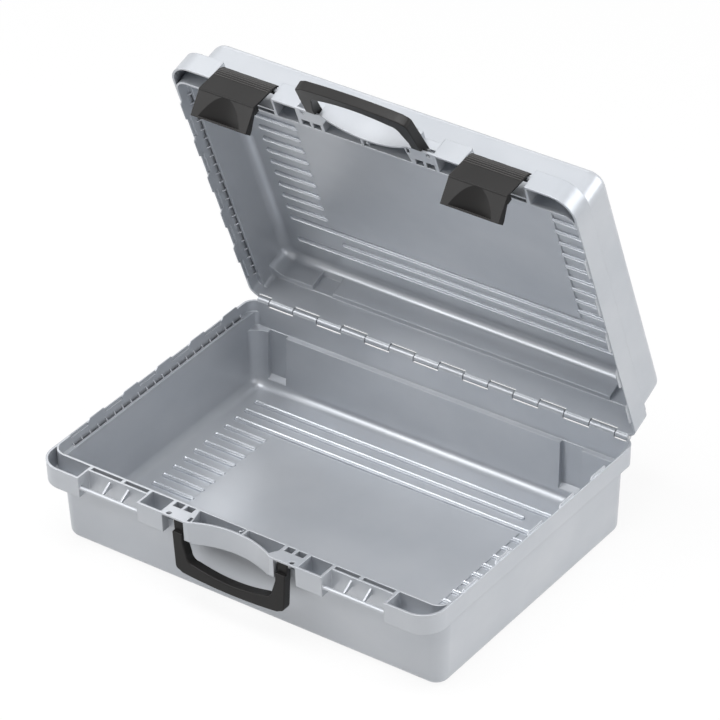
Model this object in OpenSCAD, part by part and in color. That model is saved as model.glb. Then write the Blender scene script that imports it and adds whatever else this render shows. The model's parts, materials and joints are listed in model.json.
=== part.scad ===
// Moulded carrying case, shown open. Units are millimetres, +Z is up, +X runs along the front.
// Both shells come from one half-shell module: the lid is that module turned half a turn about Y.

/* [Case] */
// Width across the rim band
case_w = 450; // [380:1:560]
// Depth of the rim band, front face to back face, hinge knuckles left out
case_d = 340; // [280:1:420]
// Height of the lower shell, from its underside to the parting plane
base_h = 97; // [80:1:140]
// Height of the lid shell, from the parting plane to its top
lid_h = 61; // [54:1:110]
// Wall thickness of both shells
wall = 2.3; // [1.8:0.1:3]
// Floor thickness of both shells
floor_t = 2.5; // [2:0.1:4]
// Height of the foot ring that stands out round the edge of each floor
foot_h = 2.5; // [1:0.5:4]
// Width of the foot ring
foot_w = 16; // [8:1:24]
// How far the lid is opened in the drawing, in degrees
lid_open = 70; // [0:1:110]

/* [Rim] */
// Height of the rim band that stands out around each shell
band_h = 22; // [18:0.5:28]
// Depth of the front frame that holds the latches and the handle
frame_d = 22.5; // [20:0.5:28]
// Radius of the two front corners of the rim
rim_r = 25; // [18:1:30]
// Radius of the two back corners of the rim
back_r = 13; // [10:1:16]
// Width of the groove between the rim band and the side wall
groove_w = 2; // [1.5:0.1:3]
// Depth of the side wall's top edge under the parting plane
side_drop = 12; // [10:0.5:15]
// Spacing of the small cross ribs in the side groove
groove_pitch = 12.6; // [10:0.2:16]
// Spacing of the locating tongues along one side
tongue_pitch = 52.7; // [44:0.5:64]
// Length of one locating tongue
tongue_l = 25; // [18:1:32]
// How far a tongue stands above the parting plane
tongue_rise = 3; // [2:0.5:4]
// Thickness of a tongue, less than half the wall
tongue_t = 1; // [0.8:0.1:1.2]

/* [Body] */
// Radius of the upright corners of the body
body_r = 19; // [16:1:26]
// Radius of the outer edge round the floor
floor_r = 8.5; // [6:0.5:11]
// Radius of the inner fillet round the floor
fillet_r = 10; // [6:0.5:12]
// Inward slope of the walls, millimetres per millimetre of height
draft = 0.05; // [0.03:0.01:0.08]
// Depth of the step in the back wall under the parting plane
back_step = 31.8; // [28:0.2:36]
// Height of the raised field and the bars on the floor
bar_h = 1.2; // [1:0.1:2.5]
// Width of the bars on the floor
bar_w = 3; // [2.5:0.1:5]
// Spacing of the bars on the floor
bar_pitch = 16.6; // [14:0.2:18]
// Length of the short bars on the floor
bar_short = 48; // [25:1:60]

/* [Front frame] */
// Place of the middle of a latch bay, as a share of half the case's width
bay_share = 0.62; // [0.6:0.005:0.66]
// Width of a latch bay
bay_w = 68.7; // [66:0.1:76]
// Distance from the middle to the plate over a handle arm, inner side
plate_in = 51; // [46:0.5:60]
// Distance from the middle to the plate over a handle arm, outer side
plate_out = 75.8; // [70:0.1:90]
// Radius of the round rod that a latch hangs on or grips
rod_r = 2; // [1.8:0.1:2.4]
// Depth of the rod under the parting plane
rod_drop = 12.3; // [11:0.1:14]
// How deep the finger recess goes in behind the front face
recess_depth = 12; // [8:0.5:15]
// Height of the curved wall of the finger recess
recess_h = 24; // [20:0.5:30]

/* [Hinge] */
// Distance of the hinge axis behind the rim's back face
hinge_back = 2; // [1.5:0.1:3]
// Outside radius of a hinge knuckle
knuckle_r = 4; // [3.6:0.1:5]
// Radius of the hinge rod
hinge_pin_r = 1.6; // [1.3:0.1:2.2]
// Number of full knuckles between the two half ones
knuckle_n = 14; // [10:2:18]
// Distance from the case's side to the end of the knuckle row
hinge_inset = 9; // [4:0.5:40]

/* [Handles] */
// Half the outside width of a handle at its bottom corners
handle_half = 62; // [58:0.5:70]
// Width of a handle arm
arm_w = 12; // [9:0.5:14]
// Reach from the handle pivot to the corner of the grip
handle_reach = 51; // [42:0.5:58]
// Height of the grip bar at its middle
grip_h = 11; // [8:0.5:14]
// How far the grip bows out at its middle
grip_bow = 4; // [0:0.5:8]
// Thickness of a handle
handle_t = 10.2; // [8:0.2:12]
// Radius of the handle's pivot pin
handle_pin_r = 2; // [1.6:0.1:2.4]
// Swing of the base handle in the drawing, in degrees from hanging
base_handle_swing = 0; // [0:1:100]
// Swing of the lid handle in the drawing, in degrees from flat on the lid
lid_handle_swing = 100; // [0:1:100]

/* [Latches] */
// Width of a latch
latch_w = 63; // [54:0.5:66]
// Height of the latch plate above its rod
latch_top = 5.3; // [4.5:0.1:8]
// Thickness of the latch plate
latch_t = 2; // [1.6:0.1:3]
// How far the bent pull tab runs
tab_l = 27; // [18:0.5:30]
// How far the pull tab bends in towards the body, in degrees
tab_bend = 46; // [25:1:50]
// Swing of both latches in the drawing, in degrees from closed
latch_swing = 10; // [0:1:100]

/* [Hidden] */
run_fit = 0.05;
press_bite = 0.02;
eps = 0.01;
seg_step = 8;
$fn = 64;

hw = case_w/2;
hd = case_d/2;
body_x = hw - wall - groove_w;
body_front = -(hd - frame_d);
slope_back = hd - wall - 2.4;
body_back = slope_back + draft*back_step;
hinge_y = hd + hinge_back;
hinge_half = hw - hinge_inset;
cell_d = band_h - 2;
skin_y = -hd;
rod_y = -hd + 3;
inner_r = body_r - wall;
corner_r = 15;
band_in = 0.7;
ledge_top = back_step - 4.3;
ledge_fall = 1.4;
ledge_in = 4.7;
knuckle_gap = 1.1;
upper_x = body_x - draft*back_step;

knuckle_p = 2*hinge_half/(knuckle_n + 1);

latch_mid = hw*bay_share;
bay_in = latch_mid - bay_w/2;
bay_out = latch_mid + bay_w/2;
wall2_y = body_front - 6.5;
gusset_a = bay_in + 21.9;
gusset_b = bay_in + 43.6;

pin_y = -hd + 6.5;
pin_drop = 7.5;
face_out = hd + pin_y + 0.7;
arm_out = plate_out - 10.8;
arm_in = arm_out - arm_w;
arm_top = 4.1;
arm_step = 3.5;

latch_face = 5.3;
fold_drop = rod_drop + 20.5;
hook_r = 2*rod_drop + rod_r + 0.2;
scoop_r = 48;
scoop_dip = 15;
tab_depth = 9;

shell_col = [0.70, 0.72, 0.74];
black_col = [0.13, 0.12, 0.12];
steel_col = [0.75, 0.75, 0.77];

// Side profile of a sloped shell with a rounded lower edge, as inset and height pairs.
function sloped(h, r, top) = let (a = atan(draft), c = draft*(h - r) + r*sqrt(1 + draft*draft))
    concat([[-draft*top, top]],
           [for (i = [0:seg_step]) let (t = a + (90 - a)*i/seg_step) [c - r*cos(t), -(h - r) - r*sin(t)]]);

function straight(z1, z0) = [[0, z1], [0, z0]];

// Block with four rounded upright corners whose sides follow prof from top to bottom.
module rounded(x0, x1, y0, y1, r, prof) {
    zt = prof[0][1];
    zb = prof[len(prof) - 1][1];
    pts = concat([[0, zt]], [for (p = prof) [r - p[0], p[1]]], r - prof[len(prof) - 1][0] > 0.001 ? [[0, zb]] : []);
    lx = x1 - x0 - 2*r;
    ly = y1 - y0 - 2*r;
    translate([x0 + r, y0 + r, zb]) cube([lx, ly, zt - zb]);
    translate([x1 - r, y1 - r, 0]) rotate([90, 0, 0]) linear_extrude(ly) polygon(pts);
    translate([x0 + r, y0 + r, 0]) rotate([90, 0, 180]) linear_extrude(ly) polygon(pts);
    translate([x1 - r, y0 + r, 0]) rotate([90, 0, -90]) linear_extrude(lx) polygon(pts);
    translate([x0 + r, y1 - r, 0]) rotate([90, 0, 90]) linear_extrude(lx) polygon(pts);
    translate([x1 - r, y1 - r, 0]) rotate_extrude(angle = 90) polygon(pts);
    translate([x0 + r, y1 - r, 0]) rotate([0, 0, 90]) rotate_extrude(angle = 90) polygon(pts);
    translate([x0 + r, y0 + r, 0]) rotate([0, 0, 180]) rotate_extrude(angle = 90) polygon(pts);
    translate([x1 - r, y0 + r, 0]) rotate([0, 0, 270]) rotate_extrude(angle = 90) polygon(pts);
}

module box(x0, x1, y0, y1, z0, z1) {
    translate([x0, y0, z0]) cube([x1 - x0, y1 - y0, z1 - z0]);
}

// Prism along X from x0 to x1 whose section is a list of y, z points.
module prism_x(x0, x1, pts) {
    translate([x0, 0, 0]) rotate([90, 0, 90]) linear_extrude(x1 - x0) polygon(pts);
}

// Upright plate pushed along Z from z0 to z1.
module prism_z(z0, z1, pts) {
    translate([0, 0, z0]) linear_extrude(z1 - z0) polygon(pts);
}

// Bar with round ends lying on the floor from x0 to x1.
module bar(x0, x1, y, z0, z1) {
    r = bar_w/2;
    a = [for (i = [0:6]) [x1 - r + r*cos(-90 + 30*i), y + r*sin(-90 + 30*i)]];
    b = [for (i = [0:6]) [x0 + r + r*cos(90 + 30*i), y + r*sin(90 + 30*i)]];
    prism_z(z0, z1, concat(a, b));
}

// Curve of the finger recess: distance behind the front face at a given x.
recess_half = plate_in - 4;
recess_R = (recess_half*recess_half + recess_depth*recess_depth)/(2*recess_depth);
function recess_y(x) = skin_y + recess_depth - (recess_R - sqrt(recess_R*recess_R - x*x));
recess_n = 16;
function recess_line(off, x1) = [for (i = [-recess_n:recess_n]) let (x = x1*i/recess_n) [x, recess_y(x) + off]];

// Outside of one half shell, solid. The parting plane is z = 0 and the floor is below it.
module half_outside(h) {
    rounded(-body_x, body_x, body_front, body_back, body_r, sloped(h, floor_r, 0));
    rounded(-hw, hw, -hd, hd - 40, rim_r, [[0, 0], [band_in, -band_h]]);
    rounded(-hw, hw, -40, hd, back_r, [[0, 0], [band_in, -band_h]]);
    rounded(-upper_x, upper_x, hd - 60, hd, back_r - 2, [[0, -band_h + 2], [0, -ledge_top - 1], [ledge_in - 0.4, -back_step]]);
    for (s = pocket_spans)
        box(s[0] - wall, s[1] + wall, slope_back - 30, hd - 0.8, pocket_z(h, s) - wall, -ledge_top);
}

// Upright pockets in the back wall, each from one x to another.
// The third value is the share of the height that stays under the pocket's bottom.
pocket_spans = [[25 - hw, 47 - hw, 0.144], [hw - 81, hw - 57, 0.178]];
function pocket_z(h, s) = -h*(1 - s[2]);

// Inside of one half shell, taken out of it.
module half_inside(h) {
    translate([0, 0, 0])
        rounded(-body_x + wall, body_x - wall, body_front + wall, body_back - wall, inner_r,
                sloped(h - floor_t - foot_h, fillet_r, 0));
    rounded(-hw + wall, hw - wall, body_front + wall, 60, corner_r - 2, straight(1, -side_drop));
    rounded(-hw + wall, hw - wall, -60, hd - wall, back_r - wall, straight(1, -side_drop));
    rounded(-upper_x + wall, upper_x - wall, hd - 70, hd - wall, ledge_in,
            [[0, -side_drop + 1], [0, -ledge_top], [ledge_in, -ledge_top - ledge_fall]]);
    for (s = pocket_spans)
        prism_x(s[0], s[1], [[slope_back - 12, -ledge_top + 3], [hd - 0.8 - wall, -ledge_top + 3],
            [hd - 0.8 - wall, pocket_z(h, s) + 3.5], [slope_back - 4, pocket_z(h, s)], [slope_back - 12, pocket_z(h, s)]]);
}

// Narrow groove between the rim band and each side wall, with its cross ribs left standing.
groove_y0 = body_front + rim_r + 6;
groove_n = floor((hd - 13 - groove_y0)/groove_pitch);
module grooves() {
    for (s = [-1, 1]) for (i = [0:groove_n - 1])
        box(s > 0 ? body_x : -body_x - groove_w, s > 0 ? body_x + groove_w : -body_x,
            groove_y0 + i*groove_pitch + 0.7, groove_y0 + (i + 1)*groove_pitch - 0.7, -band_h + wall, -side_drop + eps);
}

module groove_ribs() {
    g = [[body_x - 0.6, -side_drop - 1], [body_x - 0.6, -side_drop + 0.4], [hw - wall + 0.3, -side_drop + 4.2],
         [hw - wall + 0.3, -side_drop - 1]];
    for (s = [0, 1]) mirror([s, 0, 0]) for (i = [0:groove_n])
        translate([0, groove_y0 + i*groove_pitch + 0.7, 0]) rotate([90, 0, 0]) linear_extrude(1.4) polygon(g);
}

// Locating tongues on the inner half of the rim, with slots between them for the other shell's tongues.
function right_tongues() = [for (k = [-2:2]) k*tongue_pitch];
function left_tongues() = [for (k = [-2:2]) (k + 0.5)*tongue_pitch];

module tongues() {
    l = tongue_l/2;
    for (s = [0, 1]) mirror([s, 0, 0]) for (y = s == 0 ? right_tongues() : left_tongues())
        prism_x(hw - wall, hw - wall + tongue_t, [[y - l, -1], [y + l, -1], [y + l, tongue_rise - 1.5],
            [y + l - 1, tongue_rise], [y - l + 3, tongue_rise], [y - l, 0.3]]);
}

module tongue_slots() {
    l = tongue_l/2 + 0.8;
    for (s = [0, 1]) mirror([s, 0, 0]) for (y = s == 0 ? left_tongues() : right_tongues())
        box(hw - wall - 1, hw - wall + tongue_t + 0.2, y - l, y + l, -tongue_rise - 0.3, 1);
}

// Openings of the front frame, seen from the parting plane. Mirrored pairs share one side module.
module frame_side_cells() {
    // corner pocket
    difference() {
        intersection() {
            rounded(-hw + wall, hw - wall, -hd + wall, 0, rim_r - wall, straight(1, -cell_d));
            box(bay_out + wall, hw, -hd, body_front + 30, -cell_d, 1);
        }
        rounded(-hw + 0.6, hw - 0.6, body_front, 40, corner_r, straight(2, -band_h));
    }
    // latch bay, open to the front and below
    box(bay_in, bay_out, -hd - 1, wall2_y, -band_h - 1, 1);
    // two slots behind the bay
    box(gusset_a + 10.3, bay_out - 1.5, wall2_y + 2, body_front, -cell_d, 1);
    box(bay_in + 1.2, gusset_a + 6.5, wall2_y + 2, body_front, -cell_d, 1);
    // square pocket
    box(plate_out + wall, bay_in - wall, -hd + wall, body_front, -cell_d, 1);
    // room for the handle arm, with two small pockets behind it
    box(plate_in + 0.3, plate_out, -hd - 1, -hd + 13, -12, -2);
    box(plate_in + 0.3, plate_out, -hd - 1, pin_y + handle_t - face_out + 0.3, -band_h - 1, -11.9);
    box(plate_in + 1.6, plate_in + 10.5, -hd + 15, body_front, -cell_d, 1);
    box(plate_in + 13.5, plate_out - 1.6, -hd + 15, body_front, -cell_d, 1);
    // moulding hole in the plate
    translate([plate_out - 5.8, -hd + 4, -3]) cylinder(r = 2.5, h = 5);
}

module recess_cut() {
    x1 = recess_half;
    prism_z(-band_h - 3, 1, concat([[-x1, skin_y - 1]], recess_line(0, x1), [[x1, skin_y - 1]]));
}

module recess_pockets() {
    x1 = plate_in - 7.5;
    difference() {
        prism_z(-cell_d, 1, concat([[-x1 - 4.5, body_front]], recess_line(wall, x1), [[plate_in - 2, pin_y + 6], [plate_in - 2, body_front]]));
        box(6.5 - 1.15, 6.5 + 1.15, -hd, 0, -band_h, 2);
    }
    // short slot at one end of the recess
    box(-plate_in + 2.2, -plate_in + 5.5, recess_y(plate_in - 5.5) + wall, pin_y + 3, -cell_d, 1);
}

// Lower lip of the curved recess wall, below the frame.
module recess_lip() {
    x1 = plate_in - 1;
    prism_z(-recess_h, -band_h + 1, concat(recess_line(0.01, recess_half - 3), [[recess_half - 3, recess_y(recess_half - 3) + wall]],
        [for (i = [recess_n:-1:-recess_n]) let (x = (recess_half - 3)*i/recess_n) [x, recess_y(x) + wall]]));
}

module front_details() {
    for (s = [0, 1]) mirror([s, 0, 0]) {
        // rod across the latch bay and its two gussets
        translate([bay_in - 1, rod_y, -rod_drop]) rotate([0, 90, 0]) cylinder(r = rod_r, h = bay_out - bay_in + 2);
        for (x = [gusset_a, gusset_b])
            prism_x(x - 1, x + 1, [[wall2_y + 0.5, -3.5], [wall2_y + 0.5, -rod_drop + 2], [rod_y, -rod_drop - 0.6], [rod_y, -rod_drop + 1.2]]);
    }
    // small nub beside the divider of the recess pockets
    translate([1.4, body_front - 4.6, -cell_d - 1]) cylinder(r = 1.3, h = cell_d + 0.4);
    box(0.8, 2, body_front - 4.6, body_front + 0.5, -cell_d - 1, -2.5);
}

// Bars on the floor: the three rows at the back run right across, the others end at the raised field.
bar_y0 = hd - 40;
bar_n = floor((bar_y0 - body_front - 26)/bar_pitch);
module floor_bars(h) {
    z0 = -h + floor_t + foot_h - 0.5;
    z1 = z0 + 0.5 + bar_h;
    xe = body_x - 27.2;
    xf = xe - bar_short;
    bar(-xe, xe, bar_y0, z0, z1);
    bar(-xe, xe - 58, bar_y0 - bar_pitch, z0, z1);
    bar(-xe, xe, bar_y0 - 2*bar_pitch, z0, z1);
    for (k = [3:bar_n]) for (s = [-1, 1])
        bar(s < 0 ? -xe : xf - 6, s < 0 ? -xf + 6 : xe, bar_y0 - bar_pitch*k, z0, z1);
    box(-xf, xf, bar_y0 - bar_pitch*bar_n - 4, bar_y0 - 2*bar_pitch - 5.5, z0, z1);
}

// Shallow hollow under the floor inside the foot ring, split by a bar across the middle.
module foot_recess(h) {
    i = draft*h + floor_r + foot_w - 6;
    for (y = [[body_front + i, -6], [6, body_back - i]])
        rounded(-body_x + i, body_x - i, y[0], y[1], 6, straight(-h + foot_h, -h - 1));
}

// Knuckle k of the row along the hinge axis; even ones belong to the base, odd ones to the lid.
function knuckle_x0(k) = k == 0 ? -hinge_half : -hinge_half + (k - 0.5)*knuckle_p;
function knuckle_x1(k) = k == knuckle_n + 1 ? hinge_half : -hinge_half + (k + 0.5)*knuckle_p;

module hinge_cylinders(parity, r, grow) {
    for (k = [parity:2:knuckle_n + 1])
        translate([knuckle_x0(k) - grow, hinge_y, 0]) rotate([0, 90, 0])
            cylinder(r = r, h = knuckle_x1(k) - knuckle_x0(k) + 2*grow);
}

module half_shell(h, hole_r) {
    difference() {
        union() {
            difference() {
                half_outside(h);
                half_inside(h);
                grooves();
                tongue_slots();
                foot_recess(h);
                recess_cut();
                recess_pockets();
                for (s = [0, 1]) mirror([s, 0, 0]) frame_side_cells();
                hinge_cylinders(1, knuckle_r + knuckle_gap, 0.4);
            }
            groove_ribs();
            tongues();
            recess_lip();
            front_details();
            floor_bars(h);
            hinge_cylinders(0, knuckle_r, -0.4);
        }
        translate([-hinge_half - 1, hinge_y, 0]) rotate([0, 90, 0]) cylinder(r = hole_r, h = 2*hinge_half + 2);
        for (s = [-1, 1])
            translate([s*(plate_in - 1) - 3, pin_y, -pin_drop]) rotate([0, 90, 0]) cylinder(r = handle_pin_r - press_bite, h = 6);
    }
}

// A half shell as the lid sits when closed, then swung open with everything on it.
module closed_lid() {
    translate([0, 0, base_h]) rotate([0, 180, 0]) children();
}

module opened() {
    translate([0, hinge_y, base_h]) rotate([-lid_open, 0, 0]) translate([0, -hinge_y, -base_h]) children();
}

module base_shell() {
    color(shell_col) translate([0, 0, base_h]) half_shell(base_h, hinge_pin_r - press_bite);
}

module lid_shell() {
    color(shell_col) opened() closed_lid() half_shell(lid_h, hinge_pin_r + run_fit);
}

module hinge_rod() {
    color(steel_col) translate([-hinge_half + 0.2, hinge_y, base_h]) rotate([0, 90, 0])
        cylinder(r = hinge_pin_r, h = 2*hinge_half - 0.4);
}

// Handle outline in the plane of its face: x across, second value measured down from the pivot.
ho = arm_out;
hb = handle_half;
hi = handle_half - 13.2;
inner_mid = handle_reach + grip_bow - grip_h;
bow_n = 10;
function bow(x, half, ends, mid) = mid - (mid - ends)*(x/half)*(x/half);
function fillet(cx, cy, r, a0, a1, n) = [for (i = [0:n]) let (a = a0 + (a1 - a0)*i/n) [cx + r*cos(a), cy + r*sin(a)]];

module handle_outline() {
    outer = concat(
        [[-ho, -arm_top]],
        fillet(-hb + 5, handle_reach - 6, 5, 180, 100, 5),
        [for (i = [-bow_n:bow_n]) let (x = (hb - 8)*i/bow_n) [x, bow(x, hb, handle_reach, handle_reach + grip_bow)]],
        fillet(hb - 5, handle_reach - 6, 5, 80, 0, 5),
        [[ho, -arm_top], [ho - arm_w, -arm_top], [ho - arm_w, 17]],
        fillet(hi - 9, inner_mid - 13.5, 9, 0, 65, 6),
        [for (i = [bow_n:-1:-bow_n]) let (x = (hi - 9)*i/bow_n) [x, bow(x, hi, inner_mid - 7.5, inner_mid)]],
        fillet(-hi + 9, inner_mid - 13.5, 9, 115, 180, 6),
        [[-ho + arm_w, 17], [-ho + arm_w, -arm_top]]);
    polygon([for (p = outer) [p[0], -p[1]]]);
}

// Handle hanging on a half shell, in the parting-plane frame, swung out by a number of degrees.
module handle(swing) {
    translate([0, pin_y, -pin_drop]) rotate([-swing, 0, 0]) difference() {
        translate([0, handle_t - face_out, 0]) rotate([90, 0, 0]) linear_extrude(handle_t) handle_outline();
        // step at the top of each arm, so that it clears the plate above
        box(-ho - 1, ho + 1, -face_out - 1, -arm_step, -8, 6);
        // hollow in the back of the grip
        box(-hi + 8, hi - 8, 0.5, handle_t, -inner_mid - 6.4, -inner_mid - 3.4);
        translate([-ho - 1, 0, 0]) rotate([0, 90, 0]) cylinder(r = handle_pin_r + run_fit, h = 2*ho + 2);
    }
}

module base_handle() {
    color(black_col) translate([0, 0, base_h]) handle(base_handle_swing);
}

module lid_handle() {
    color(black_col) opened() closed_lid() handle(lid_handle_swing);
}

module handle_pin(side) {
    translate([side > 0 ? plate_in - 2.2 : -arm_out - 1, pin_y, -pin_drop]) rotate([0, 90, 0])
        cylinder(r = handle_pin_r, h = arm_out + 1 - plate_in + 2.2);
}

module base_pin_left() { color(steel_col) translate([0, 0, base_h]) handle_pin(-1); }
module base_pin_right() { color(steel_col) translate([0, 0, base_h]) handle_pin(1); }
module lid_pin_left() { color(steel_col) opened() closed_lid() handle_pin(1); }
module lid_pin_right() { color(steel_col) opened() closed_lid() handle_pin(-1); }

// Latch in the closed lid's frame: y and z from the rod's axis, z up into the lid.
latch_x0 = latch_mid - latch_w/2;
latch_x1 = latch_mid + latch_w/2;
pl_o = -latch_face;
pl_i = -latch_face + latch_t;
fold_z = -fold_drop;
tb = [sin(tab_bend), -cos(tab_bend)];
tn = [cos(tab_bend), sin(tab_bend)];
function tab_pt(s, n) = [pl_o + tb[0]*s + tn[0]*n, fold_z + tb[1]*s + tn[1]*n];

module latch_grip(x0, x1) {
    // ring round the lid's rod
    difference() {
        union() {
            translate([x0, 0, 0]) rotate([0, 90, 0]) cylinder(r = rod_r + 1.7, h = x1 - x0);
            prism_x(x0, x1, [[pl_i - 0.5, -3.5], [0, -3.2], [0, 3.2], [pl_i - 0.5, 3.5]]);
        }
        translate([x0 - 1, 0, 0]) rotate([0, 90, 0]) cylinder(r = rod_r + run_fit, h = x1 - x0 + 2);
    }
    // hook that reaches under the base's rod; its top follows a circle about the lid's rod
    zr = -2*rod_drop;
    prism_x(x0, x1, concat([[pl_i - 0.5, fold_z + 0.5], tab_pt(4, latch_t), [rod_r + 3, zr - 9.2], [rod_r + 4.2, zr - 7],
        [rod_r + 3.4, zr - 3.2]], [for (a = [11, 7, 3, 0]) [hook_r*sin(a), -hook_r*cos(a)]], [[pl_i - 0.5, -hook_r]]));
}

// Finger scoop in the pull tab: a round cutter that slants deeper towards the tab's lower edge.
module scoop() {
    intersection() {
        translate([latch_mid, pl_o, fold_z]) rotate([tab_bend, 0, 0])
            translate([0, 0, -1.5]) rotate([scoop_dip, 0, 0]) translate([0, -scoop_r, -60]) cylinder(r = scoop_r, h = 61);
        prism_x(latch_x0, latch_x1, [tab_pt(1.2, -12), tab_pt(tab_l - 1.5, -12), tab_pt(tab_l - 1.5, 20), tab_pt(1.2, 20)]);
    }
}

module latch_body() {
    difference() {
        prism_x(latch_x0, latch_x1, [[pl_o + 3.4, latch_top], [pl_o + 1.6, latch_top - 2.1], [pl_o + 0.5, latch_top - 5.7],
            [pl_o, latch_top - 10], tab_pt(0, 0), tab_pt(tab_l, 0), tab_pt(tab_l, tab_depth), tab_pt(tab_l - 4, tab_depth),
            tab_pt(1.2, latch_t + 1.4), [pl_i, fold_z + 2.5], [pl_i, latch_top - 10], [pl_i + 0.4, latch_top - 6],
            [pl_i + 1.4, latch_top - 2.9], [pl_o + 4.8, latch_top - 0.2]]);
        // four fine grooves across the plate
        for (i = [0:3])
            prism_x(latch_x0 - 1, latch_x1 + 1, [[pl_o - 1, -1.8 - 2.7*i], [pl_o + 0.4, -2.2 - 2.7*i], [pl_o + 0.4, -2.6 - 2.7*i],
                [pl_o - 1, -3 - 2.7*i]]);
        scoop();
    }
    // fine bead along the fold
    prism_x(latch_x0, latch_x1, [tab_pt(0.2, 0.3), tab_pt(0.5, -0.4), tab_pt(1.6, -0.4), tab_pt(2, 0.3)]);
    latch_grip(bay_in + 4, gusset_a - 3);
    latch_grip(gusset_a + 3.5, gusset_b - 3.5);
    latch_grip(gusset_b + 3, bay_out - 4);
}

module latch_at() {
    opened() translate([0, rod_y, base_h + rod_drop]) rotate([-latch_swing, 0, 0]) children();
}

module latch_right() { color(black_col) latch_at() latch_body(); }
module latch_left() { color(black_col) latch_at() mirror([1, 0, 0]) latch_body(); }

base_shell();
lid_shell();
hinge_rod();
base_handle();
lid_handle();
base_pin_left();
base_pin_right();
lid_pin_left();
lid_pin_right();
latch_left();
latch_right();
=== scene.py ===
# %% [markdown]
# # A moulded carrying case, open on a table
# The case is two plastic mouldings joined by a row of hinge knuckles, with a black folding handle
# on each half and two black snap latches on the lid. The solids come from the CAD model. This
# lesson gives them soft moulded edges, satin plastic, and the light of a plain white studio.

# %% Load the frame
import json
import math

import bmesh
import bpy
from mathutils import Matrix, Vector


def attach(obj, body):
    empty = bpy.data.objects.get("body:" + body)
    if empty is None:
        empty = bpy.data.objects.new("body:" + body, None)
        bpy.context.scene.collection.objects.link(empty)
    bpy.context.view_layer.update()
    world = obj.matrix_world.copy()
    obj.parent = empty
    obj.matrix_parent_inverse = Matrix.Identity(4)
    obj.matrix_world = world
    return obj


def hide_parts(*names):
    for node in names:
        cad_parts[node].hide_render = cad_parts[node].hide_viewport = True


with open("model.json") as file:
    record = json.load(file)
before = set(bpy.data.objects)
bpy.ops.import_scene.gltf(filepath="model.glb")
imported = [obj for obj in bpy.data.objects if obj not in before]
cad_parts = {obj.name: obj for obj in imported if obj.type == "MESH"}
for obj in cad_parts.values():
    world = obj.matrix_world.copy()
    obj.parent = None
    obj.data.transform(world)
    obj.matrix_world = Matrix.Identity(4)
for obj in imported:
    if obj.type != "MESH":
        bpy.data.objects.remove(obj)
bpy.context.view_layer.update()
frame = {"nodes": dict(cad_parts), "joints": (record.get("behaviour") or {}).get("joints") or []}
joints = {joint["name"]: joint for joint in frame["joints"]}
mm = 0.001

# %% [markdown]
# ## The camera
# The photograph was taken with a long lens from the front right, looking down by about 34 degrees.
# Long lenses keep parallel edges nearly parallel, so the lens is 233 mm and the camera is far away.
# The small middle turn, a roll of one degree, is there because the upright edges in the photograph
# lean slightly.

# %% Camera
camera_data = bpy.data.cameras.new("studio_camera")
camera_data.lens = 233.45
camera_data.sensor_width = 36
camera_data.clip_end = 60
camera = bpy.data.objects.new("studio_camera", camera_data)
camera.location = (2.1355, -2.8887, 2.5932)
camera.rotation_euler = [math.radians(a) for a in (56.3105, 1.0722, 35.3699)]
bpy.context.scene.collection.objects.link(camera)
bpy.context.scene.camera = camera
bpy.context.scene.view_settings.view_transform = "Standard"
print("camera is", round(camera.location.length, 2), "m from the case")

# %% [markdown]
# ## Small helpers for materials
# A node material is a chain of boxes. The first helper adds one box and joins its sockets by name,
# so that each finish below reads as a short recipe. The others are the chains that come back in
# every finish: a noise that sits on the object, a ramp between two colours, and soft edges.

# %% Node helpers
def add_node(tree, kind, **inputs):
    made = tree.nodes.new(kind)
    for name, value in inputs.items():
        socket = made.inputs[name.replace("_", " ")]
        if isinstance(value, bpy.types.NodeSocket):
            tree.links.new(value, socket)
        else:
            socket.default_value = value
    return made


def new_finish(name):
    mat = bpy.data.materials.new(name)
    mat.use_nodes = True
    mat.node_tree.nodes.clear()
    return mat


def finish_output(mat, shader):
    add_node(mat.node_tree, "ShaderNodeOutputMaterial", Surface=shader.outputs[0])
    return mat


print("node helpers ready")

# %% Grain, colour and edge helpers
def grain(tree, scale, detail, rough, stretch=(1, 1, 1)):
    place = add_node(tree, "ShaderNodeTexCoord").outputs["Object"]
    shift = add_node(tree, "ShaderNodeMapping", Vector=place, Scale=stretch)
    noise = add_node(tree, "ShaderNodeTexNoise", Vector=shift.outputs["Vector"],
                     Scale=scale, Detail=detail, Roughness=rough)
    return noise.outputs["Fac"]


# Nearly all of a noise lies between these two values
noise_low, noise_high = 0.3, 0.7


def spread(tree, noise, low, high):
    mapped = add_node(tree, "ShaderNodeMapRange", Value=noise, From_Min=noise_low,
                      From_Max=noise_high, To_Min=low, To_Max=high)
    return mapped.outputs["Result"]


def two_tone(tree, noise, dark, light, start=0, end=1):
    ramp = add_node(tree, "ShaderNodeValToRGB", Fac=noise)
    for stop, place, colour in zip(ramp.color_ramp.elements, (start, end), (dark, light)):
        stop.position = place
        stop.color = (*colour, 1)
    return ramp.outputs["Color"]


def soft_edges(tree, radius):
    edge = add_node(tree, "ShaderNodeBevel", Radius=radius * mm)
    edge.samples = 8
    return edge.outputs["Normal"]


print("grain, colour and edge helpers ready")

# %% [markdown]
# ## Satin grey plastic
# Injection-moulded polypropylene has a cool grey colour with a faint cloudy variation where the
# melt flowed, and a satin skin: a very fine grain breaks up its reflections. Edges are never sharp,
# because the mould's edges are rounded. The Bevel node bends the shading over every edge by about
# a millimetre, which catches the light as the real edges do. The beads on the floors were cut into
# the mould with a polished cutter, so they get the same recipe with less roughness. Their lighter
# colour is painted highlight: it stands in for the bright lines that the light draws along them.
# Three noises drive the finish: patches as wide as a hand for the colour, streaks along the case
# for the gloss, and a fine speck for the skin.

# %% Shell finish
shell_dark = (0.43, 0.453, 0.487)
shell_pale = (0.49, 0.508, 0.537)


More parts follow.
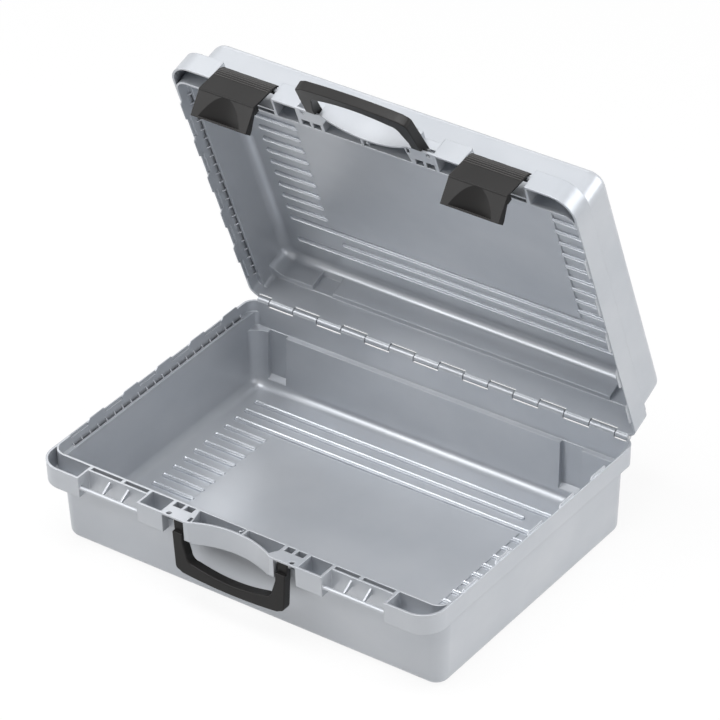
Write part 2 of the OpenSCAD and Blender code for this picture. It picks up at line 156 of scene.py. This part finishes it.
def shell_plastic(name, light, gloss_low, gloss_high, metal, skin_depth):
    mat = new_finish(name)
    tree = mat.node_tree
    cloud = grain(tree, 9, 4, 0.55, (1, 1, 1.6))
    flow = grain(tree, 26, 3, 0.6, (0.35, 1, 1))
    speck = grain(tree, 900, 2, 0.6)
    # light above 1 lifts both colours, which paints highlight into them
    dark, pale = [[part * light for part in colour] for colour in (shell_dark, shell_pale)]
    skin = add_node(tree, "ShaderNodeBump", Strength=skin_depth, Distance=0.05 * mm,
                    Height=speck, Normal=soft_edges(tree, 1.1))
    wave = add_node(tree, "ShaderNodeBump", Strength=0.12, Distance=0.6 * mm,
                    Height=cloud, Normal=skin.outputs["Normal"])
    shader = add_node(tree, "ShaderNodeBsdfPrincipled", Metallic=metal,
                      Base_Color=two_tone(tree, cloud, dark, pale, 0.3, 0.72),
                      Roughness=spread(tree, flow, gloss_low, gloss_high),
                      Normal=wave.outputs["Normal"])
    return finish_output(mat, shader)


shell_mat = shell_plastic("satin_grey_plastic", light=1, gloss_low=0.3, gloss_high=0.38,
                          metal=0.4, skin_depth=0.12)
# The beads' lower roughness is real; their lighter colour is painted highlight
bead_highlight_mat = shell_plastic("polished_grey_plastic_painted_highlight", light=1.25, gloss_low=0.2, gloss_high=0.26,
                         metal=0.55, skin_depth=0.01)
print("shell finish:", len(shell_mat.node_tree.nodes), "nodes")

# %% [markdown]
# ## Near-black plastic
# Handles and latches are a darker, slightly warmer plastic with a fine spark-eroded grain. Its
# colour is almost black, so nearly all that shows is the soft reflection of the studio. The same
# recipe with lighter colours is the plastic of the latch ribs. That lighter colour is painted
# highlight: it stands in for the bright lines that the light draws along the ribs.

# %% Grip finish
def grip_plastic(name, dark, light):
    mat = new_finish(name)
    tree = mat.node_tree
    cloud = grain(tree, 30, 3, 0.5)
    fine = grain(tree, 1500, 2, 0.6)
    colour = two_tone(tree, cloud, (dark, dark * 0.96, dark * 0.96),
                      (light, light * 0.96, light * 0.95))
    skin = add_node(tree, "ShaderNodeBump", Strength=0.3, Distance=0.06 * mm,
                    Height=fine, Normal=soft_edges(tree, 0.6))
    shader = add_node(tree, "ShaderNodeBsdfPrincipled", Base_Color=colour, Specular_IOR_Level=0.2,
                      Roughness=spread(tree, cloud, 0.32, 0.4), Normal=skin.outputs["Normal"])
    return finish_output(mat, shader)


grip_mat = grip_plastic("near_black_plastic", 0.0105, 0.016)
# The ribs' lighter colour is painted highlight
rib_highlight_mat = grip_plastic("pale_rib_plastic_painted_highlight", 0.05, 0.07)
print("grip finish:", len(grip_mat.node_tree.nodes), "nodes")

# %% [markdown]
# ## Drawn steel
# The hinge rod and the handle pins are cut from drawn wire, which has fine lines along its length.
# The noise is stretched along the wire, and the same lines vary its colour, gloss and skin.

# %% Pin finish
def pin_steel():
    mat = new_finish("drawn_steel")
    tree = mat.node_tree
    lines = grain(tree, 700, 3, 0.6, (0.02, 1, 1))
    skin = add_node(tree, "ShaderNodeBump", Strength=0.15, Distance=0.03 * mm, Height=lines)
    shader = add_node(tree, "ShaderNodeBsdfPrincipled", Metallic=1,
                      Base_Color=two_tone(tree, lines, (0.52, 0.52, 0.53), (0.68, 0.68, 0.69)),
                      Roughness=spread(tree, lines, 0.24, 0.36), Normal=skin.outputs["Normal"])
    return finish_output(mat, shader)


pin_mat = pin_steel()
print("pin finish:", len(pin_mat.node_tree.nodes), "nodes")

# %% [markdown]
# ## Where the moving pieces stand
# A new piece is easiest to shape flat, in the plane of the half shell that carries it, with the
# parting plane at height zero and lengths in millimetres. A matrix then puts it in place. The lower
# shell only needs a lift to the parting plane, which is as high as the hinge. The lid is the same
# half shell turned over and swung open, and a latch stands at its own pivot on the lid, swung out.
# The joints turn about minus x, so their low limit, taken as a turn about plus x, is the way from
# shut to the pose in the photograph.

# %% Places
def turn(degrees, axis="X"):
    return Matrix.Rotation(math.radians(degrees), 4, axis)


def pivot_of(joint):
    return Matrix.Translation(joints[joint]["pos_m"])


lid_turn = turn(joints["lid_hinge"]["range_deg"][0])
lid_swing = pivot_of("lid_hinge") @ lid_turn @ pivot_of("lid_hinge").inverted()
half_in_base = Matrix.Translation((0, 0, joints["lid_hinge"]["pos_m"][2]))
half_in_lid = lid_swing @ half_in_base @ turn(180, "Y")
print("the lid is open by", -joints["lid_hinge"]["range_deg"][0], "degrees")

# %% [markdown]
# ## From a bmesh to a finished piece
# Every new piece ends the same way: faces point outwards, the mesh is shaded smooth except at real
# edges, and the piece gets its finish, the body that it moves with and its material slot.

# %% Piece helpers
def mesh_object(bm, name):
    mesh = bpy.data.meshes.new(name)
    bm.to_mesh(mesh)
    bm.free()
    made = bpy.data.objects.new(name, mesh)
    bpy.context.scene.collection.objects.link(made)
    return made


def dress(piece, finish):
    piece.data.materials.clear()
    piece.data.materials.append(finish)


def new_piece(bm, name, place, body, finish, sharp=40):
    bmesh.ops.recalc_face_normals(bm, faces=bm.faces)
    bmesh.ops.transform(bm, matrix=place @ Matrix.Scale(mm, 4), verts=bm.verts)
    piece = mesh_object(bm, name)
    piece.data.shade_smooth()
    piece.data.set_sharp_from_angle(angle=math.radians(sharp))
    dress(piece, finish)
    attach(piece, body)
    print(name, "faces:", len(piece.data.polygons))


print("piece helpers ready")

# %% [markdown]
# ## A smooth copy of a CAD solid
# A CAD solid arrives as loose triangles, which shade flat. A copy is merged into one skin, its
# small flat triangles are joined into larger faces, and edges sharper than a set angle are marked.
# The Weighted Normal modifier keeps those marks and lets the large faces settle the shading, so
# that flat walls look flat and only the rounded corners turn the light.

# %% Copy helper
merge_gap = 0.004


def moulded_copy(node, name, body, finish, flat=0.4, sharp=24, shape=None):
    bm = bmesh.new()
    bm.from_mesh(frame["nodes"][node].data)
    bmesh.ops.remove_doubles(bm, verts=bm.verts, dist=merge_gap * mm)
    bmesh.ops.dissolve_degenerate(bm, dist=merge_gap * mm, edges=bm.edges)
    bmesh.ops.dissolve_limit(bm, angle_limit=math.radians(flat), verts=bm.verts, edges=bm.edges,
                             delimit={"NORMAL"})
    if shape:
        shape(bm)
    bm.normal_update()
    for face in bm.faces:
        face.smooth = True
    for edge in bm.edges:
        inner = len(edge.link_faces) == 2
        edge.smooth = inner and edge.calc_face_angle() < math.radians(sharp)
    piece = mesh_object(bm, name)
    even = piece.modifiers.new("even_shading", "WEIGHTED_NORMAL")
    even.keep_sharp = True
    dress(piece, finish)
    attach(piece, body)
    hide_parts(node)
    print(name, "faces:", len(piece.data.polygons))


print("copy helper ready")

# %% [markdown]
# ## The two shells
# Each shell is one moulding: a rim band, pockets along its front frame, a row of small tongues
# inside the rim at each side, raised panels on its back wall, and bars across its floor.

# %% Shells
moulded_copy("base_shell", "case_base", "base", shell_mat)
moulded_copy("lid_shell", "case_lid", "lid", shell_mat)

# %% [markdown]
# ## Beads on the floors
# The floor of each half is stiffened by low beads: long ones along the hinge side and a row of
# short ones at both ends. The CAD has them as plain bars. The real ones have a raised lip all
# round, which catches two bright lines with a dark one between them. A bead starts as a round bump:
# a ring of edges is extruded inwards again and again, and each new ring is moved to the next height
# of the bead's profile, up over the lip and down to the hollow behind it. Then the two halves of
# the bump are pulled apart, which makes a long bead with round ends.

# %% Bead shape
# Each pair is a ring of the bump: its radius and its height over the floor
bead_profile = (
    (3.1, -0.3), (2.85, 0), (2.7, 0.3), (2.55, 0.9), (2.4, 1.55), (2.25, 2), (2.15, 2.15),
    (2.05, 2.2), (1.95, 2.15), (1.85, 2.05), (1.7, 1.7), (1.58, 1.38), (1.4, 1.26), (0.7, 1.25))
bead_half = 2.85
bead_sides = 24
# A bead reaches this far past each end of its bar in the CAD
past_bar = 1


def floor_bead(bm, x0, x1, y, floor_z):
    reach, height = bead_profile[0]
    # Half a side of turn keeps every vertex off the line where the two halves part
    ring = bmesh.ops.create_circle(bm, segments=bead_sides, radius=reach,
                                   matrix=turn(180 / bead_sides, "Z"))["verts"]
    bmesh.ops.translate(bm, verts=ring, vec=(0, 0, height))
    # Neighbours share edges, and a dict drops the doubles but keeps the order
    edges = list(dict.fromkeys(e for v in ring for e in v.link_edges))
    bmesh.ops.edgeloop_fill(bm, edges=edges)
    every = list(ring)
    for inner, top in bead_profile[1:]:
        made = bmesh.ops.extrude_edge_only(bm, edges=edges)["geom"]
        ring = [v for v in made if isinstance(v, bmesh.types.BMVert)]
        edges = [e for e in made if isinstance(e, bmesh.types.BMEdge)
                 and all(v in ring for v in e.verts)]
        bmesh.ops.scale(bm, verts=ring, vec=(inner / reach, inner / reach, 1))
        bmesh.ops.translate(bm, verts=ring, vec=(0, 0, top - height))
        reach, height = inner, top
        every += ring
    bmesh.ops.edgeloop_fill(bm, edges=edges)
    pull = (x1 - x0) / 2 + past_bar - bead_half
    for way in (-1, 1):
        half = [v for v in every if v.co.x * way > 0]
        bmesh.ops.translate(bm, verts=half, vec=(way * pull, 0, 0))
    bmesh.ops.translate(bm, verts=every, vec=((x0 + x1) / 2, y, floor_z))


bead_height = max(top for _, top in bead_profile)
print("a bead is", 2 * bead_half, "mm wide and", bead_height, "mm high")

# %% Beads of both floors
row_end = 193.5
short_start = 144.5
second_row_end = 135.5
first_row_y = 130
row_pitch = 16.6
row_count = 16
# Heights of the two floors over the parting plane of their own half
base_floor_z = -92
lid_floor_z = -56


def floor_beads(name, floor_z, place, body):
    bm = bmesh.new()
    rows = [(-row_end, row_end, 0), (-row_end, second_row_end, 1), (-row_end, row_end, 2)]
    for k in range(len(rows), row_count):
        rows += [(-row_end, -short_start, k), (short_start, row_end, k)]
    for x0, x1, k in rows:
        floor_bead(bm, x0, x1, first_row_y - row_pitch * k, floor_z)
    # The beads take the finish whose lighter colour is painted highlight
    new_piece(bm, name, place, body, bead_highlight_mat, sharp=70)


floor_beads("floor_beads_base", base_floor_z, half_in_base, "base")
floor_beads("floor_beads_lid", lid_floor_z, half_in_lid, "lid")

# %% [markdown]
# ## Handles
# The handles are thick moulded loops with a bowed grip. Hands hold them, so their outside edges
# are well rounded, by over a millimetre: this is real geometry, made with the bevel operator, and
# it draws the bright line along the grip. The edges round the pivot hole stay as they are.

# %% Handles
edge_round = 1.1
pivot_clear = 3
outline_angle = 35


def soften(joint):
    _, pivot_y, pivot_z = joints[joint]["pos_m"]

    def off_pivot(v):
        return math.hypot(v.co.y - pivot_y, v.co.z - pivot_z) > pivot_clear * mm

    def shape(bm):
        outline = [e for e in bm.edges if len(e.link_faces) == 2 and e.is_convex
                   and e.calc_face_angle() > math.radians(outline_angle)
                   and all(off_pivot(v) for v in e.verts)]
        bmesh.ops.bevel(bm, geom=outline, offset=edge_round * mm, offset_type="OFFSET", segments=3,
                        profile=0.5, affect="EDGES", material=-1, clamp_overlap=False)
        print("rounded edges:", len(outline))

    return shape


moulded_copy("base_handle", "carry_handle_base", "base_handle", grip_mat,
             flat=0.05, sharp=42, shape=soften("base_handle_pivot"))
moulded_copy("lid_handle", "carry_handle_lid", "lid_handle", grip_mat,
             flat=0.05, sharp=42, shape=soften("lid_handle_pivot"))

# %% [markdown]
# ## Latches
# A latch is a thin plate, bent at a fold into a pull tab with a round finger scoop. Four fine ribs
# run across the plate, so that a thumb finds it. Each rib is a thin round bar, sunk in the plate to
# just past its middle. It starts as the cone operator's straight bar, is laid along the latch, and
# has its two ends rounded with a bevel.

# %% Latches
moulded_copy("latch_left", "snap_latch_left", "latch_left", grip_mat, flat=0.05, sharp=8)
moulded_copy("latch_right", "snap_latch_right", "latch_right", grip_mat, flat=0.05, sharp=8)

# %% Latch ribs
rib_heights = (-2.2, -4.8, -7.4, -10.1)
rib_length = 62.4
rib_radius = 0.55
rib_round = 0.2
rib_sink = 0.12
plate_front = -5.3
lean_start = -4.7
lean = 0.5 / 4.3


def latch_ribs(name, joint, body):
    bm = bmesh.new()
    for up in rib_heights:
        # Above lean_start the front of the plate leans back
        front = plate_front + max(0, up - lean_start) * lean
        lie = Matrix.Translation((0, front + rib_sink, up)) @ turn(90, "Y")
        made = bmesh.ops.create_cone(bm, cap_ends=True, segments=12, radius1=rib_radius,
                                     radius2=rib_radius, depth=rib_length, matrix=lie)
        short = dict.fromkeys(e for v in made["verts"] for e in v.link_edges
                              if e.calc_length() < rib_length / 2)
        bmesh.ops.bevel(bm, geom=list(short), offset=rib_round, offset_type="OFFSET", segments=2,
                        profile=0.5, affect="EDGES", material=-1)
    place = pivot_of(joint) @ lid_turn @ turn(joints[joint]["range_deg"][0])
    # The ribs take the lighter finish, a painted highlight
    new_piece(bm, name, place, body, rib_highlight_mat)


latch_ribs("latch_ribs_left", "latch_left_pivot", "latch_left")
latch_ribs("latch_ribs_right", "latch_right_pivot", "latch_right")

# %% [markdown]
# ## Pins
# The rod and the pins are plain turned pieces. Their CAD solids stay, with the steel finish.

# %% Pins
pin_names = ("hinge_rod", "base_pin_left", "base_pin_right", "lid_pin_left", "lid_pin_right")
for pin_name in pin_names:
    dress(frame["nodes"][pin_name], pin_mat)
print("steel pieces:", len(pin_names))

# %% [markdown]
# ## Floor
# The photograph has a white ground. The floor is a large pale sheet that mostly shows white to the
# camera and in reflections, with enough of its own surface left to keep a soft contact shadow under
# the case. The Light Path node tells such rays from the ones that only carry light.

# %% Rays that see the white
def background_rays(tree):
    path = add_node(tree, "ShaderNodeLightPath")
    rays = path.outputs["Is Camera Ray"]
    for kind in ("Is Glossy Ray", "Is Transmission Ray"):
        either = add_node(tree, "ShaderNodeMath")
        either.operation = "MAXIMUM"
        tree.links.new(rays, either.inputs[0])
        tree.links.new(path.outputs[kind], either.inputs[1])
        rays = either.outputs[0]
    return rays


def mix_shaders(tree, share, first, second):
    mix = add_node(tree, "ShaderNodeMixShader", Fac=share)
    tree.links.new(first.outputs[0], mix.inputs[1])
    tree.links.new(second.outputs[0], mix.inputs[2])
    return mix


print("ray and mix helpers ready")

# %% Floor
white_share = 0.9
floor_half = 12
floor_drop = 0.5


def studio_floor():
    bm = bmesh.new()
    bmesh.ops.create_grid(bm, x_segments=1, y_segments=1, size=floor_half)
    floor = mesh_object(bm, "studio_floor")
    floor.location = (0, 0, -floor_drop * mm)
    mat = new_finish("white_ground")
    tree = mat.node_tree
    paper = add_node(tree, "ShaderNodeBsdfDiffuse", Color=(0.86, 0.86, 0.86, 1))
    glow = add_node(tree, "ShaderNodeEmission", Color=(1, 1, 1, 1), Strength=1)
    most = add_node(tree, "ShaderNodeMath", Value=background_rays(tree))
    most.operation = "MULTIPLY"
    most.inputs[1].default_value = white_share
    finish_output(mat, mix_shaders(tree, most.outputs[0], paper, glow))
    dress(floor, mat)


studio_floor()
print("floor ready,", 2 * floor_half, "m wide")

# %% [markdown]
# ## Light
# Eight large soft boxes stand round the case. The strongest hangs above the front and makes the
# rims the brightest surfaces. Those at the left catch the beads, and the low one at the right lifts
# the right side over the front. A faint white tent fills what they leave dark. The world is that
# tent for the light, and plain white for the camera and for reflections.

# %% World
tent_strength = 0.03
world = bpy.data.worlds.new("white_tent")
bpy.context.scene.world = world
world.use_nodes = True
world_tree = world.node_tree
world_tree.nodes.clear()
tent = add_node(world_tree, "ShaderNodeBackground", Color=(0.97, 0.985, 1, 1),
                Strength=tent_strength)
white = add_node(world_tree, "ShaderNodeBackground", Color=(1, 1, 1, 1), Strength=1)
seen = mix_shaders(world_tree, background_rays(world_tree), tent, white)
add_node(world_tree, "ShaderNodeOutputWorld", Surface=seen.outputs[0])
print("tent strength", tent_strength)

# %% Soft boxes
case_middle = (0, 0, 0.1)
floor_middle = (0, 0.1, 0.05)
# Name, place and aim in metres, width and height in metres, power in watts
soft_boxes = (
    ("soft_box_over", (0, -0.7, 2.8), case_middle, (1.6, 1.2), 51),
    ("soft_box_key", (-1.35, -1.62, 1.85), floor_middle, (1.2, 1.1), 20),
    ("soft_box_high", (-1.35, 0, 2.45), floor_middle, (1.4, 1.4), 8),
    ("soft_box_side", (-2.5, -0.6, 1), case_middle, (1.6, 1), 22),
    ("soft_box_rear", (-1.6, 2.15, 1.95), case_middle, (1.6, 1.2), 7),
    ("soft_box_back", (1.9, 1.7, 1.6), case_middle, (2.2, 1.8), 44),
    ("soft_box_right", (2.6, -0.3, 0.5), case_middle, (1.8, 0.7), 18),
    ("soft_box_near", (0.9, -0.5, 2.6), case_middle, (1.4, 1.2), 10),
)
for name, place, aim, size, watts in soft_boxes:
    lamp_data = bpy.data.lights.new(name, "AREA")
    lamp_data.shape = "RECTANGLE"
    lamp_data.size, lamp_data.size_y = size
    lamp_data.energy = watts
    lamp = bpy.data.objects.new(name, lamp_data)
    lamp.location = place
    lamp.rotation_euler = (Vector(aim) - Vector(place)).to_track_quat("-Z", "Y").to_euler()
    bpy.context.scene.collection.objects.link(lamp)
print("soft boxes:", len(soft_boxes))
